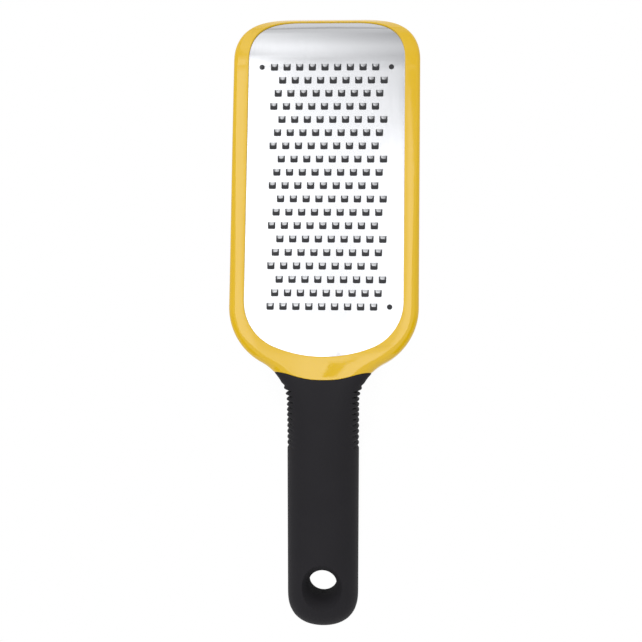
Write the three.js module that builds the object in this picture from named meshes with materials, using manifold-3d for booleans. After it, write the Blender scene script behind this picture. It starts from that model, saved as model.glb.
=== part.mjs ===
// A hand grater with a soft-grip handle, lying face up on its tip foot and its butt.
// Every piece is drawn straight: x across the tool, s along it towards the tip, h up from the plate's face.
// s = 0 is the window's lower edge. The straight pieces are then bent along one spine: the plate lies flat,
// the nose rolls down at the tip and the handle drops away at the neck.
import * as THREE from 'three';
import { ConvexGeometry } from 'three/addons/geometries/ConvexGeometry.js';
import { mergeGeometries, mergeVertices } from 'three/addons/utils/BufferGeometryUtils.js';
import Module from 'manifold-3d';

const wasm = await Module();
wasm.setup();

// Driving dimensions, in millimetres and degrees.

// Spine
const flatLength = 121.3;
const noseRadius = 25;
const noseAngle = 64.5;
const neckBendStart = -4.5;
const neckBendLength = 20;
const handleDrop = 13.9;

// Head outline
const headWidth = 76.6;
const bandWidth = 6.3;
const tipCornerRadius = 27;
const heelRadius = 52;
const heelCornerRadius = 20;
const shoulderStart = 20.2;
const shoulderRadius = 25.4;
const throatRadius = 18.8;

// Frame section
const frameDepth = 11;
const frameWall = 2;
const lipThickness = 0.9;
const ledgeThickness = 1.2;
const edgeRound = 1.8;
const endRound = 0.9;
const noseLipDrop = 0.4;

// Plate and teeth
const plateThickness = 0.6;
const plateCapture = 2.4;
const toothRows = 19;
const toothColumns = 9;
const toothPitch = 5.19;
const firstRow = 18.93;
const fieldTipMargin = 0.89;
const fieldOffset = -0.8;
const rowShiftCycle = 3;
const openingWidth = 2.9;
const openingLength = 2.75;
const openingCorner = 0.45;
const tongueWidth = 1.9;
const tongueLength = 1.3;
const tongueTaper = 0.5;
const tongueRise = 0.95;
const tongueThickness = 0.45;
const tongueRoot = 0.12;
const tongueSink = 0.02;
const pilotDiameter = 2.2;
const pilotSpan = 53;
const pilotRise = 1.5;

// Handle and grip
const handleLength = 113.5;
const gripWidth = 29.25;
const gripThickness = 22;
const gripCrown = 2.5;
const gripWall = 2.8;
const buttRound = 14.5;
const buttPower = 2.5;
const buttAngle = 87.4;
const ovalShare = 0.94;
const sectionBlendStart = 12;
const sectionBlendLength = 50;
const collarSetback = 9.3;
const collarRise = 3.1;
const collarSpan = 38;

// Fins on the grip's sides
const finCount = 11;
const finStart = -11.6;
const finPitch = 2.35;
const finDepth = 1.8;
const finDepthEnd = 0.8;
const finLead = 0.6;
const finReach = 4.6;

// Hang hole
const hangHoleSetback = 18.6;
const hangHoleDiameter = 11.7;
const hangHoleThroat = 9.2;
const hangHoleRim = 19;
const hangHoleLining = 2.6;

// Tang and its anchor
const tangLength = 36;
const tangWidth = 15;
const tangThickness = 6;
const tangTaper = 0.8;
const anchorDiameter = 5;
const anchorSetback = 10;

// Tip foot
const footWidth = 30;
const footHeight = 4.6;
const footSeat = 0.9;
const footStand = 0.7;
const footEdge = 1;

// Fits
const gap = 0.2;

// Facets: sections along the skin, and segments around its corners, arcs and holes
const noseSteps = 8;
const endSteps = 3;
const neckSteps = 12;
const collarSteps = 4;
const collarCurveSteps = 8;
const finShares = [0, 0.33, 0.67];
const tangSteps = 5;
const coreSteps = 6;
const coreRoundSteps = 5;
const gripRoundSteps = 6;
const heelShares = [0.2, 0.45, 0.7];
const noseArcLimit = 75;
const tipArcAngles = [80, 90];
const cornerSegments = 4;
const arcSegments = 6;
const holeSegments = 20;

// Cutters reach this far past what they open, and half spaces this far past the tool.
const overcut = 5;
const margin = 20;
const pitchHalvings = 40;

// Values that follow from the driving dimensions.
const radians = THREE.MathUtils.degToRad;
const noseLength = noseRadius * radians(noseAngle);
const tipEnd = flatLength + noseLength;
const buttEnd = -handleLength;
const neckRadius = neckBendLength / radians(handleDrop);
const windowHalf = headWidth / 2 - bandWidth;
const lastRow = flatLength - fieldTipMargin - openingLength;
const rowPitch = (lastRow - firstRow) / (toothRows - 1);
const faceHeight = gap + lipThickness;
const frameBottom = faceHeight - frameDepth;
const gripMiddle = gripCrown - gripThickness / 2;
const tipCornerStart = tipEnd - tipCornerRadius;
const shoulderCentre = headWidth / 2 - shoulderRadius;
const throatCentre = gripWidth / 2 + throatRadius;
const arcsApart = Math.sqrt((shoulderRadius + throatRadius) ** 2 - (throatCentre - shoulderCentre) ** 2);
const throatEnd = shoulderStart - arcsApart;
const inflection = shoulderStart - arcsApart * shoulderRadius / (shoulderRadius + throatRadius);
const collarFront = collarRise - collarSetback;
const sectionBlendEnd = sectionBlendStart - sectionBlendLength;
const buttStart = buttEnd + buttRound;
const hangHoleAt = buttEnd + hangHoleSetback;
const finEnd = finStart - finCount * finPitch;
const finFade = finEnd - finPitch / 2;
const tipWindowRadius = tipCornerRadius - bandWidth;

const lerp = THREE.MathUtils.lerp;
const smooth = (value, from, to) => THREE.MathUtils.smoothstep((value - from) / (to - from), 0, 1);
const range = (count) => Array.from({ length: count }, (_, index) => index);
const evenly = (from, to, steps) => range(steps + 1).map((step) => lerp(from, to, step / steps));
const noseStations = evenly(flatLength, tipEnd, noseSteps);

// How far the section has changed from the frame's slab (0) to the handle's oval (1).
function handleBlend(s) {
  return smooth(s, sectionBlendStart, sectionBlendEnd);
}

// Half width of the tool's outline at s: tip corners, straight sides, shoulder, throat, handle.
function outlineAt(s) {
  const head = headWidth / 2;
  const grip = gripWidth / 2;
  if (s > tipCornerStart) {
    const along = Math.min(s - tipCornerStart, tipCornerRadius);
    return head - tipCornerRadius + Math.sqrt(tipCornerRadius ** 2 - along ** 2);
  }
  if (s > shoulderStart) return head;
  if (s > inflection) return shoulderCentre + Math.sqrt(shoulderRadius ** 2 - (shoulderStart - s) ** 2);
  if (s > throatEnd) return throatCentre - Math.sqrt(throatRadius ** 2 - (s - throatEnd) ** 2);
  return grip;
}

// Share of the full section that is left at s where the butt rounds off, for a skin inset from the outside.
function buttShare(s, inset) {
  const along = (buttStart - s) / (buttRound - inset);
  if (along <= 0) return 1;
  return (1 - Math.min(along, 1) ** buttPower) ** (1 / buttPower);
}

// How far the frame's upper and lower edges draw in at its end wall.
function endDrawIn(s) {
  const along = s - (tipEnd - endRound);
  if (along <= 0) return 0;
  return endRound - Math.sqrt(Math.max(endRound ** 2 - along ** 2, 0));
}

// Inset of the grip's sides at s: valleys between round-nosed fins. The first valley is shallow, the second
// is the deepest, and they grow shallow again towards the butt.
function finInset(s) {
  if (s > finStart || s < finFade) return 0;
  const along = (finStart - s) / finPitch;
  const depth = lerp(finDepth, finDepthEnd, along / finCount) * smooth(along, -finLead, 1);
  return depth * (1 - Math.abs(Math.sin(Math.PI * along)));
}

// Place of the collar's edge at x: furthest back in the middle, rising to the sides, where it levels out.
function collarAt(x) {
  return collarRise * Math.sin(Math.PI * x / collarSpan) ** 2 - collarSetback;
}

// One closed ring of the tool's skin at s: a slab with rounded edges that turns into an oval down the neck.
function skinRing(s, inset = 0, fins = false) {
  const blend = handleBlend(s);
  const share = buttShare(s, inset);
  const drawIn = endDrawIn(s);
  const lipDrop = noseLipDrop * smooth(s, flatLength, tipEnd);
  const half = (outlineAt(s) - inset) * share;
  const top = lerp(faceHeight, gripCrown, blend) - inset - drawIn - lipDrop;
  const bottom = lerp(frameBottom, gripCrown - gripThickness, blend) + inset + drawIn;
  const middle = (top + bottom) / 2;
  const rise = (top - bottom) / 2 * share;
  const roundX = lerp(edgeRound, half, blend * ovalShare);
  const roundH = lerp(edgeRound, rise, blend * ovalShare);
  const valley = fins ? finInset(s) : 0;
  const points = [];
  for (const quarter of range(4)) {
    for (const step of range(cornerSegments + 1)) {
      const angle = Math.PI / 2 * (quarter + step / cornerSegments);
      const sideX = quarter === 0 || quarter === 3 ? 1 : -1;
      const sideH = quarter < 2 ? 1 : -1;
      const x = sideX * (half - roundX) + roundX * Math.cos(angle);
      const h = middle + sideH * (rise - roundH) + roundH * Math.sin(angle);
      const reach = smooth(Math.abs(x), half - finReach, half - finReach / 4);
      points.push(new THREE.Vector3(x - Math.sign(x) * valley * reach, s, h));
    }
  }
  return points;
}

// A closed solid through rings of equally many points, given from the butt end to the tip end.
// Facets on the left mirror those on the right.
function loft(rings) {
  const count = rings[0].length;
  const index = [];
  for (const ring of range(rings.length - 1)) {
    for (const point of range(count)) {
      const next = (point + 1) % count;
      const [near, nearNext] = [ring * count + point, ring * count + next];
      const [far, farNext] = [near + count, nearNext + count];
      const onLeft = rings[ring][point].x + rings[ring][next].x < 0;
      if (onLeft) index.push(near, far, nearNext, far, farNext, nearNext);
      else index.push(near, far, farNext, near, farNext, nearNext);
    }
  }
  const last = (rings.length - 1) * count;
  for (const point of range(count - 2)) {
    index.push(0, point + 1, point + 2);
    index.push(last, last + point + 2, last + point + 1);
  }
  const geometry = new THREE.BufferGeometry().setFromPoints(rings.flat());
  geometry.setIndex(index);
  return geometry;
}

// Solids for joining and cutting.
function solid(geometry) {
  const bare = geometry.clone();
  bare.deleteAttribute('normal');
  bare.deleteAttribute('uv');
  const merged = mergeVertices(bare);
  const mesh = new wasm.Mesh({
    numProp: 3,
    vertProperties: new Float32Array(merged.attributes.position.array),
    triVerts: new Uint32Array(merged.index.array),
  });
  return new wasm.Manifold(mesh);
}

function geometryOf(body) {
  const mesh = body.getMesh();
  const geometry = new THREE.BufferGeometry();
  geometry.setAttribute('position', new THREE.BufferAttribute(mesh.vertProperties, 3));
  geometry.setIndex(new THREE.BufferAttribute(mesh.triVerts, 1));
  return geometry;
}

function prism(shape, low, high, curveSegments = arcSegments) {
  const options = { depth: high - low, bevelEnabled: false, curveSegments };
  return new THREE.ExtrudeGeometry(shape, options).translate(0, 0, low);
}

// A round bar along h.
function roundBar(diameter, s, low, high) {
  const bar = new THREE.CylinderGeometry(diameter / 2, diameter / 2, high - low, holeSegments);
  return bar.rotateX(Math.PI / 2).translate(0, s, (low + high) / 2);
}

// Bending along the spine, which runs on straight past the nose's end and past the neck.
function bendPoint(point) {
  const { y: s, z: h } = point;
  const [way, start, length, radius] = s > flatLength
    ? [1, flatLength, noseLength, noseRadius]
    : [-1, neckBendStart, neckBendLength, neckRadius];
  const past = (s - start) * way;
  if (past <= 0) return point;
  const bent = Math.min(past, length);
  const angle = bent / radius;
  point.y = start + way * ((radius + h) * Math.sin(angle) + (past - bent) * Math.cos(angle));
  point.z = (radius + h) * Math.cos(angle) - radius - (past - bent) * Math.sin(angle);
  return point;
}

function bend(geometry) {
  const position = geometry.attributes.position;
  const point = new THREE.Vector3();
  for (const index of range(position.count)) {
    bendPoint(point.fromBufferAttribute(position, index));
    position.setXYZ(index, point.x, point.y, point.z);
  }
  return geometry;
}

function bentSolid(geometry) {
  return solid(bend(geometry));
}

// The window's outline, offset outwards: half widths from the heel's arc up to the tip's flat end.
function windowOutline(offset) {
  const cornerX = windowHalf - heelCornerRadius;
  const cornerS = heelRadius - Math.sqrt((heelRadius - heelCornerRadius) ** 2 - cornerX ** 2);
  const heelEnd = Math.atan2(cornerS - heelRadius, cornerX);
  const tipX = windowHalf - tipWindowRadius;
  const tipS = tipEnd - bandWidth - tipWindowRadius;
  const tipRadius = tipWindowRadius + offset;
  const arc = (x, s, radius, angle) => {
    return { half: x + radius * Math.cos(angle), s: s + radius * Math.sin(angle) };
  };
  const heel = heelShares.map((share) => (
    arc(0, heelRadius, heelRadius + offset, lerp(-Math.PI / 2, heelEnd, share))
  ));
  const corner = range(arcSegments + 1).map((step) => (
    arc(cornerX, cornerS, heelCornerRadius + offset, lerp(heelEnd, 0, step / arcSegments))
  ));
  const nose = noseStations.filter((s) => s < tipS + tipRadius * Math.sin(radians(noseArcLimit)));
  const sides = nose.map((s) => ({ half: tipX + Math.sqrt(tipRadius ** 2 - Math.max(s - tipS, 0) ** 2), s }));
  const end = tipArcAngles.map((angle) => arc(tipX, tipS, tipRadius, radians(angle)));
  return [...heel, ...corner, ...sides, ...end];
}

// A bent slab between two heights, through half widths given from the butt end to the tip end.
function slab(places, low, high) {
  const rings = places.map(({ half, s }) => {
    const corners = [[half, high], [-half, high], [-half, low], [half, low]];
    return corners.map(([x, h]) => new THREE.Vector3(x, s, h));
  });
  return bentSolid(loft(rings));
}

function windowSlab(offset, low, high) {
  return slab(windowOutline(offset), low, high);
}

// Everything behind the collar's edge, moved back by a clearance.
function behindCollar(clearance) {
  const low = gripCrown - gripThickness - overcut;
  const high = gripCrown + overcut;
  const wide = headWidth / 2 + overcut;
  const front = collarFront - clearance;
  const side = collarSpan / 2;
  const halves = evenly(side / collarCurveSteps / 2, side, collarCurveSteps);
  const curve = halves.map((half) => ({ half, s: collarAt(half) - clearance }));
  const ahead = [...curve, { half: wide, s: front + gap }, { half: wide, s: front + overcut }];
  const block = evenly(buttEnd - overcut, front + gap, neckSteps).map((s) => ({ half: headWidth / 2, s }));
  return slab(block, low, high).subtract(slab(ahead, low - overcut, high + overcut));
}

// Tang: a tapering bar from inside the neck into the core, grown by a clearance for its socket.
function tangLoft(grow) {
  const root = -collarSetback / 2;
  const end = -collarSetback - tangLength;
  const ring = (s, share) => {
    const blend = handleBlend(s);
    const top = lerp(faceHeight, gripCrown, blend);
    const bottom = lerp(frameBottom, gripCrown - gripThickness, blend);
    const middle = (top + bottom) / 2;
    const half = tangWidth / 2 * share + grow;
    const rise = tangThickness / 2 * share + grow;
    const corners = [[1, 1], [-1, 1], [-1, -1], [1, -1]];
    return corners.map(([x, h]) => new THREE.Vector3(x * half, s, middle + h * rise));
  };
  const steps = evenly(0, 1, tangSteps);
  return loft(steps.map((step) => ring(lerp(end - grow, root, step), lerp(tangTaper, 1, step))));
}

const anchorAt = -collarSetback - tangLength + anchorSetback;

function anchorBar(diameter) {
  return bentSolid(roundBar(diameter, anchorAt, gripCrown - gripThickness, gripCrown));
}

// Grating plate: a blank with openings, and one raised tongue over the tip side of each opening.
function openingShape(x, s) {
  const half = openingWidth / 2;
  const shape = new THREE.Shape();
  shape.moveTo(x - half, s + openingLength);
  shape.lineTo(x - half, s + openingCorner);
  shape.lineTo(x - half + openingCorner, s);
  shape.lineTo(x + half - openingCorner, s);
  shape.lineTo(x + half, s + openingCorner);
  shape.lineTo(x + half, s + openingLength);
  return shape;
}

// A tongue rises from its root in the opening's tip-side wall and thins to a sharp, blunt-cornered free edge.
function tongue(x, s) {
  const slope = tongueRise / tongueLength;
  const half = tongueWidth / 2;
  const points = [];
  for (const side of [-1, 1]) {
    points.push(new THREE.Vector3(side * half, tongueRoot, -tongueRoot * slope));
    points.push(new THREE.Vector3(side * half, tongueRoot, -tongueRoot * slope - tongueThickness));
    const full = tongueLength - tongueTaper;
    points.push(new THREE.Vector3(side * half, -full, full * slope));
    points.push(new THREE.Vector3(side * (half - tongueTaper), -tongueLength, tongueRise));
  }
  return new ConvexGeometry(points).translate(x, s + openingLength, -tongueSink);
}

function teeth() {
  const places = [];
  for (const row of range(toothRows)) {
    const shift = toothPitch * ((row % rowShiftCycle) / rowShiftCycle);
    for (const column of range(toothColumns)) {
      const x = fieldOffset + toothPitch * (column - (toothColumns - 1) / 2) + shift;
      places.push({ x, s: firstRow + row * rowPitch });
    }
  }
  return places;
}

function buildPlate() {
  const blank = windowSlab(plateCapture, -plateThickness, 0);
  const places = teeth();
  const holes = places.map(({ x, s }) => openingShape(x, s));
  for (const [side, row] of [[1, firstRow], [1, lastRow], [-1, lastRow]]) {
    const pilot = new THREE.Shape();
    pilot.absarc(side * pilotSpan / 2, row + pilotRise, pilotDiameter / 2, 0, 2 * Math.PI, false);
    holes.push(pilot);
  }
  const cutter = solid(prism(holes, -2 * plateThickness, plateThickness));
  const tongues = solid(mergeGeometries(places.map(({ x, s }) => tongue(x, s))));
  return geometryOf(blank.subtract(cutter).add(tongues));
}

// Frame: the front of the skin, opened by the window, hollowed from below and grooved for the plate's edge.
function frameStations() {
  const neck = evenly(-collarSetback - frameWall, shoulderStart, neckSteps);
  const end = evenly(0, Math.PI / 2, endSteps).map((angle) => tipEnd - endRound * (1 - Math.sin(angle)));
  return [...neck, ...noseStations.slice(0, -1), ...end];
}

function buildFrame() {
  const below = frameBottom - overcut;
  const window = windowSlab(0, below, overcut);
  const cavity = windowSlab(bandWidth - frameWall, below, -plateThickness - gap - ledgeThickness);
  const groove = windowSlab(plateCapture + gap, -plateThickness - gap, gap);
  const outside = bentSolid(loft(frameStations().map((s) => skinRing(s)))).subtract(behindCollar(0));
  const shell = outside.subtract(window).subtract(cavity).subtract(groove);
  const tang = bentSolid(tangLoft(0)).subtract(anchorBar(anchorDiameter));
  const seat = bentSolid(footBlock(tipEnd - footSeat, tipEnd + overcut, gap));
  return geometryOf(shell.add(tang).subtract(seat));
}

// Tip foot: a strip set in the end wall, trimmed by the surface that the tool lies on.
function footBlock(low, high, grow) {
  const width = footWidth + 2 * grow;
  const height = footHeight + 2 * grow;
  const block = new THREE.BoxGeometry(width, high - low, height);
  return block.translate(0, (low + high) / 2, frameBottom + footEdge + footHeight / 2);
}

// Handle core: the skin inset by the grip's wall, with the tang's socket and the eye for the hang hole.
function buttStations(inset, steps) {
  const reach = buttRound - inset;
  return evenly(radians(buttAngle), 0, steps).map((angle) => buttStart - reach * Math.sin(angle));
}

function coreStations() {
  return [...buttStations(gripWall, coreRoundSteps), ...evenly(sectionBlendEnd, collarFront, coreSteps)];
}

function coreLoft(inset) {
  return bentSolid(loft(coreStations().map((s) => skinRing(s, inset))));
}

function eyeBar(diameter) {
  return bentSolid(roundBar(diameter, hangHoleAt, gripMiddle - gripThickness, gripMiddle + gripThickness));
}

function buildCore() {
  const eye = eyeBar(hangHoleDiameter + 2 * hangHoleLining);
  const socket = bentSolid(tangLoft(gap)).subtract(anchorBar(anchorDiameter - 2 * gap));
  const core = coreLoft(gripWall).intersect(behindCollar(gap));
  return geometryOf(core.subtract(eye).subtract(socket));
}

// Grip: the back of the skin with its fins, hollow for the core and pierced by the funnelled hang hole.
function gripStations() {
  const collar = evenly(collarFront, finStart, collarSteps).slice(0, -1);
  const fins = range(finCount).flatMap((fin) => finShares.map((share) => finStart - (fin + share) * finPitch));
  return [...buttStations(0, gripRoundSteps), ...[...collar, ...fins, finEnd, finFade].reverse()];
}

function hangHole() {
  const throat = hangHoleDiameter / 2;
  const rim = hangHoleRim / 2;
  const flare = (rim - throat) / (gripThickness - hangHoleThroat) * 2;
  const reach = gripThickness / 2 + overcut;
  const wide = throat + flare * (reach - hangHoleThroat / 2);
  const profile = [[0, -reach], [wide, -reach], [throat, -hangHoleThroat / 2]];
  profile.push([throat, hangHoleThroat / 2], [wide, reach], [0, reach]);
  const points = profile.map(([radius, h]) => new THREE.Vector2(radius, h));
  const cutter = new THREE.LatheGeometry(points, holeSegments);
  return bentSolid(cutter.rotateX(Math.PI / 2).translate(0, hangHoleAt, gripMiddle));
}

function buildGrip() {
  const outside = bentSolid(loft(gripStations().map((s) => skinRing(s, 0, true))));
  const hollow = coreLoft(gripWall - gap).subtract(eyeBar(hangHoleDiameter + 2 * (hangHoleLining - gap)));
  return geometryOf(outside.intersect(behindCollar(gap)).subtract(hollow).subtract(hangHole()));
}

// Rest pose: the pitch at which the butt and the foot share one surface, footStand below the frame's end.
function heightAt(position, index, pitch) {
  return position.getZ(index) * Math.cos(pitch) - position.getY(index) * Math.sin(pitch);
}

function lowest(geometry, pitch) {
  const position = geometry.attributes.position;
  const heights = range(position.count).map((index) => heightAt(position, index, pitch));
  return heights.reduce((low, height) => Math.min(low, height), Infinity);
}

function restPitch(frame, grip) {
  let pitch = 0;
  let change = Math.PI / 4;
  for (const _ of range(pitchHalvings)) {
    const tipHigher = lowest(frame, pitch) - footStand > lowest(grip, pitch);
    pitch += tipHigher ? change : -change;
    change /= 2;
  }
  return pitch;
}

function buildFoot(pitch, floor) {
  const block = bend(footBlock(tipEnd - footSeat + gap, tipEnd + overcut, 0));
  const ground = new THREE.BoxGeometry(headWidth, headWidth, margin).translate(0, 0, floor - margin / 2);
  const ahead = bendPoint(new THREE.Vector3(0, tipEnd, 0)).y;
  ground.translate(0, ahead, 0).rotateX(pitch);
  return geometryOf(solid(block).subtract(solid(ground)));
}

// Assembly.
function piece(name, geometry, color, roughness, metalness) {
  const flat = geometry.toNonIndexed();
  flat.computeVertexNormals();
  const mesh = new THREE.Mesh(flat, new THREE.MeshStandardMaterial({ color, roughness, metalness }));
  mesh.name = name;
  return mesh;
}

const frameGeometry = buildFrame();
const gripGeometry = buildGrip();
const pitch = restPitch(frameGeometry, gripGeometry);
const floor = lowest(gripGeometry, pitch);

const tool = new THREE.Group();
tool.add(piece('frame', frameGeometry, 0xe3b52f, 0.28, 0));
tool.add(piece('grating_plate', buildPlate(), 0xd4d6d9, 0.3, 1));
tool.add(piece('handle_core', buildCore(), 0x2a2a2c, 0.5, 0));
tool.add(piece('grip', gripGeometry, 0x2e2d30, 0.75, 0));
tool.add(piece('tip_foot', buildFoot(pitch, floor), 0x3a3a3d, 0.8, 0));

// The tool lies on its foot and butt, with the origin on the surface under the middle of its length.
tool.rotation.x = -pitch;
tool.updateMatrixWorld(true);
const box = new THREE.Box3().setFromObject(tool, true);
const middle = box.getCenter(new THREE.Vector3());
tool.position.set(-middle.x, -middle.y, -box.min.z);

const grater = new THREE.Group();
grater.add(tool);

export default grater;
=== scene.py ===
"""A hand grater with a soft grip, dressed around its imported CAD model.

Each new piece is modelled straight and in millimetres: x across the tool, s along it towards the tip, and
h up from the grating face. It is then bent along the tool's spine, laid on the table and scaled to metres.
"""

from __future__ import annotations

import logging
import math
from abc import ABC, abstractmethod
from dataclasses import dataclass
from enum import Enum
from typing import Callable, Iterable, Optional, Sequence

import bmesh
import bpy
import numpy as np
from mathutils import Euler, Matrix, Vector

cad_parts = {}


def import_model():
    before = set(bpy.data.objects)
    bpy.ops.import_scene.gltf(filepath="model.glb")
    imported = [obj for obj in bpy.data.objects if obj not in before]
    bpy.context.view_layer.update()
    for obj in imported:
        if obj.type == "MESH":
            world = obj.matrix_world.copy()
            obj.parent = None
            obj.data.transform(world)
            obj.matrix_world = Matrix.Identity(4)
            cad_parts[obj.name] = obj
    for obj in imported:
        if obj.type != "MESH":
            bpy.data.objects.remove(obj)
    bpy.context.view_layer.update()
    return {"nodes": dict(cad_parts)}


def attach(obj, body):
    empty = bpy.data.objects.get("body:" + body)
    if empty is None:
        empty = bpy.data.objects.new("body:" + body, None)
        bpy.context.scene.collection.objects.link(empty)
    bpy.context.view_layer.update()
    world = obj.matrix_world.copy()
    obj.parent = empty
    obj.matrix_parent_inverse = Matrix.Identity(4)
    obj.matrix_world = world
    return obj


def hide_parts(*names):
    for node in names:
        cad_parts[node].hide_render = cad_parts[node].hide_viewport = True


LOG = logging.getLogger("hand_grater")
BODY = "root"
MM = 0.001
WHITE = (1.0, 1.0, 1.0, 1.0)

# Points of a piece that lie nearer to each other than this, in millimetres, are one.
MERGE_REACH = 0.002

# Part of a face's normal past which the face looks that way.
FACING = 0.5

# Height in metres of the cards that hang over the head, and of those over the neck.
CEILING = 0.93
NECK_CEILING = 0.15

# Power of a lamp in watts a square metre, for each unit of its radiance.
LAMP_POWER = 4.0

Place = tuple[float, float, float]
Ramp = tuple[tuple[float, float], ...]
Outline = list[tuple[float, float]]
Inputs = dict[object, object]


class Join(Enum):
    """How a second solid changes a body."""

    CUT = "DIFFERENCE"
    ADD = "UNION"


# Small helpers


def linear(colour: str) -> tuple[float, float, float, float]:
    """Turns an sRGB hex colour into linear values.

    Args:
        colour: six hex digits, with or without a leading hash.

    Returns:
        Red, green and blue, linear, and full opacity.
    """
    digits = colour.lstrip("#")
    shares = [int(digits[place : place + 2], 16) / 255 for place in (0, 2, 4)]
    red, green, blue = (c / 12.92 if c <= 0.04045 else ((c + 0.055) / 1.055) ** 2.4 for c in shares)
    return red, green, blue, 1.0


def per_metre(size_mm: float) -> float:
    """Gives the pattern scale, in repeats a metre, of a detail of this size."""
    return 1.0 / (size_mm * MM)


def lerp(start: float, end: float, share: float) -> float:
    """Goes from start to end by a share."""
    return start + (end - start) * share


def evenly(start: float, end: float, steps: int) -> list[float]:
    """Gives steps + 1 values from start to end."""
    return [lerp(start, end, step / steps) for step in range(steps + 1)]


def smooth(value: float, start: float, end: float) -> float:
    """Rises smoothly from 0 at start to 1 at end."""
    share = min(max((value - start) / (end - start), 0.0), 1.0)
    return share * share * (3 - 2 * share)


# Modelling by hand


def select_only(body: bpy.types.Object) -> None:
    """Makes one object the only selected one, and the active one.

    Args:
        body: the object.
    """
    bpy.ops.object.select_all(action="DESELECT")
    body.select_set(True)
    bpy.context.view_layer.objects.active = body


def add_primitive(name: str, add: Callable[..., object], **settings: object) -> bpy.types.Object:
    """Adds an object, with everything else deselected first.

    Args:
        name: the new object's name.
        add: the operator that adds it.
        settings: what the operator is told.

    Returns:
        The object.
    """
    bpy.ops.object.select_all(action="DESELECT")
    add(**settings)
    body = bpy.context.object
    body.name = name
    body.data.name = name
    return body


def box(name: str, size: Place, middle: Place) -> bpy.types.Object:
    """Makes a box of this size round its middle.

    Args:
        name: the new object's name.
        size: width, length and height.
        middle: its middle.

    Returns:
        A closed body.
    """
    body = add_primitive(name, bpy.ops.mesh.primitive_cube_add, size=1.0, location=middle)
    bpy.ops.transform.resize(value=size)
    bpy.ops.object.transform_apply(location=True, rotation=True, scale=True)
    return body


def face_outward(body: bpy.types.Object) -> None:
    """Turns the faces of a closed body in edit mode outward.

    Args:
        body: the object.
    """
    bpy.ops.mesh.select_all(action="SELECT")
    bpy.ops.mesh.normals_make_consistent(inside=False)
    if bmesh.from_edit_mesh(body.data).calc_volume(signed=True) < 0:
        bpy.ops.mesh.flip_normals()


def loft(name: str, sections: Sequence[Sequence[Vector]]) -> bpy.types.Object:
    """Extrudes a filled ring through sections of equally many points, and fans its two ends.

    Args:
        name: the new object's name.
        sections: the rings, in order.

    Returns:
        A closed body.
    """
    disc = {"vertices": len(sections[0]), "fill_type": "NGON", "enter_editmode": True}
    body = add_primitive(name, bpy.ops.mesh.primitive_circle_add, **disc)
    places: dict[tuple[float, ...], int] = {}
    for number, section in enumerate(sections):
        if number:
            bpy.ops.mesh.extrude_region_move()
        mesh = bmesh.from_edit_mesh(body.data)
        moving = [vert for vert in mesh.verts if vert.select]
        order = [places[vert.co.to_tuple()] for vert in moving] if number else range(len(section))
        places = {}
        for vert, index in zip(moving, order):
            vert.co = section[index]
            places[vert.co.to_tuple()] = index
        bmesh.update_edit_mesh(body.data)
    bpy.ops.mesh.select_mode(type="FACE")
    bpy.ops.mesh.select_all(action="DESELECT")
    mesh = bmesh.from_edit_mesh(body.data)
    for face in mesh.faces:
        face.select_set(len(face.verts) > 4)
    bmesh.update_edit_mesh(body.data)
    if any(face.select for face in mesh.faces):
        bpy.ops.mesh.poke()
    face_outward(body)
    bpy.ops.object.mode_set(mode="OBJECT")
    return body


def slab(name: str, outline: Outline, low: float, high: float) -> bpy.types.Object:
    """Makes a slab between two heights.

    Args:
        name: the new object's name.
        outline: half widths and places along the tool.
        low: height of the underside.
        high: height of the upper side.

    Returns:
        A closed body.
    """
    corners = ((1, high), (-1, high), (-1, low), (1, low))
    return loft(name, [[Vector((side * half, s, h)) for side, h in corners] for half, s in outline])


def modify(body: bpy.types.Object, kind: str, **settings: object) -> None:
    """Adds a modifier with these settings and applies it.

    Args:
        body: the object.
        kind: the modifier's type.
        settings: its settings.
    """
    select_only(body)
    bpy.ops.object.modifier_add(type=kind)
    modifier = body.modifiers[-1]
    for name, value in settings.items():
        setattr(modifier, name, value)
    bpy.ops.object.modifier_apply(modifier=modifier.name)


def combine(body: bpy.types.Object, tool: bpy.types.Object, how: Join) -> None:
    """Cuts a solid out of a body or adds it, and removes the solid."""
    modify(body, "BOOLEAN", object=tool, operation=how.value, solver="EXACT")
    bpy.data.objects.remove(tool)


def merge_close(body: bpy.types.Object) -> None:
    """Merges the points of a body that lie close together.

    Args:
        body: the object.
    """
    select_only(body)
    bpy.ops.object.mode_set(mode="EDIT")
    bpy.ops.mesh.select_all(action="SELECT")
    bpy.ops.mesh.remove_doubles(threshold=MERGE_REACH)
    face_outward(body)
    bpy.ops.object.mode_set(mode="OBJECT")


def bevel(
    body: bpy.types.Object, chosen: Callable[[bmesh.types.BMEdge], bool], width: float, segments: int
) -> None:
    """Rounds the chosen edges of a body.

    Args:
        body: the object.
        chosen: tells for an edge whether it is rounded.
        width: how far the round reaches.
        segments: facets across the round.
    """
    merge_close(body)
    bpy.ops.object.mode_set(mode="EDIT")
    bpy.ops.mesh.select_mode(type="EDGE")
    bpy.ops.mesh.select_all(action="DESELECT")
    mesh = bmesh.from_edit_mesh(body.data)
    for edge in mesh.edges:
        edge.select_set(len(edge.link_faces) == 2 and chosen(edge))
    bmesh.update_edit_mesh(body.data)
    bpy.ops.mesh.bevel(offset=width, segments=segments, affect="EDGES", clamp_overlap=False)
    bpy.ops.object.mode_set(mode="OBJECT")


def smooth_faces(body: bpy.types.Object, angle: float) -> None:
    """Shades a body smooth, with edges sharper than the angle in degrees left crisp."""
    select_only(body)
    bpy.ops.object.shade_smooth_by_angle(angle=math.radians(angle))


def repeat(body: bpy.types.Object, count: int, step: Place) -> None:
    """Copies a body along a line, within its own mesh."""
    offsets = {"use_relative_offset": False, "use_constant_offset": True, "constant_offset_displace": step}
    modify(body, "ARRAY", count=count, **offsets)


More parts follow.
